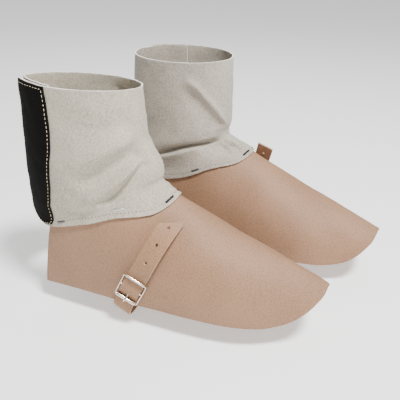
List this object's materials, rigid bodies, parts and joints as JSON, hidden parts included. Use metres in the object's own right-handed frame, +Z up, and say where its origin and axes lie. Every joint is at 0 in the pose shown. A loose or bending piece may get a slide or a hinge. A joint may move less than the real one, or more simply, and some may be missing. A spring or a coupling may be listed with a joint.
{
  "type": "pair of spats",
  "caption": "Leather boot covers: suede ankle cuffs with tape closures, flaps over the feet, and buckled straps under the arches.",
  "frame": {"origin": "where the wearer holds the pair up: on the midline between the two ankles, half way up the cuffs, 190 mm above the floor", "axes": "+Z up, the toes point to -Y, +X is to the wearer's left, so the right foot's spat is on the -X side"},
  "size_m": [0.296, 0.3854, 0.2524],
  "materials": {
    "right_cuff": "suede split, napped",
    "right_flap": "smooth, dull sheen",
    "right_strap": "smooth, dull sheen",
    "right_chape": "smooth",
    "right_tape": "woven tape, matt",
    "right_hook_tape": "hook tape",
    "right_loop_tape": "loop tape",
    "right_buckle_frame": "nickel plate, polished",
    "right_roller": "nickel plate, polished",
    "right_prong": "nickel plate, polished",
    "left_cuff": "suede split, napped",
    "left_flap": "smooth, dull sheen",
    "left_strap": "smooth, dull sheen",
    "left_chape": "smooth",
    "left_tape": "woven tape, matt",
    "left_hook_tape": "hook tape",
    "left_loop_tape": "loop tape",
    "left_buckle_frame": "nickel plate, polished",
    "left_roller": "nickel plate, polished",
    "left_prong": "nickel plate, polished"
  },
  "bodies": {
    "root": {"right_cuff": "right_cuff", "right_flap": "right_flap", "right_strap": "right_strap", "right_chape": "right_chape", "right_tape": "right_tape", "right_hook_tape": "right_hook_tape", "right_loop_tape": "right_loop_tape", "right_buckle_frame": "right_buckle_frame", "right_roller": "right_roller", "right_prong": "right_prong", "left_cuff": "left_cuff", "left_flap": "left_flap", "left_strap": "left_strap", "left_chape": "left_chape", "left_tape": "left_tape", "left_hook_tape": "left_hook_tape", "left_loop_tape": "left_loop_tape", "left_buckle_frame": "left_buckle_frame", "left_roller": "left_roller", "left_prong": "left_prong"}
  },
  "joints": []
}
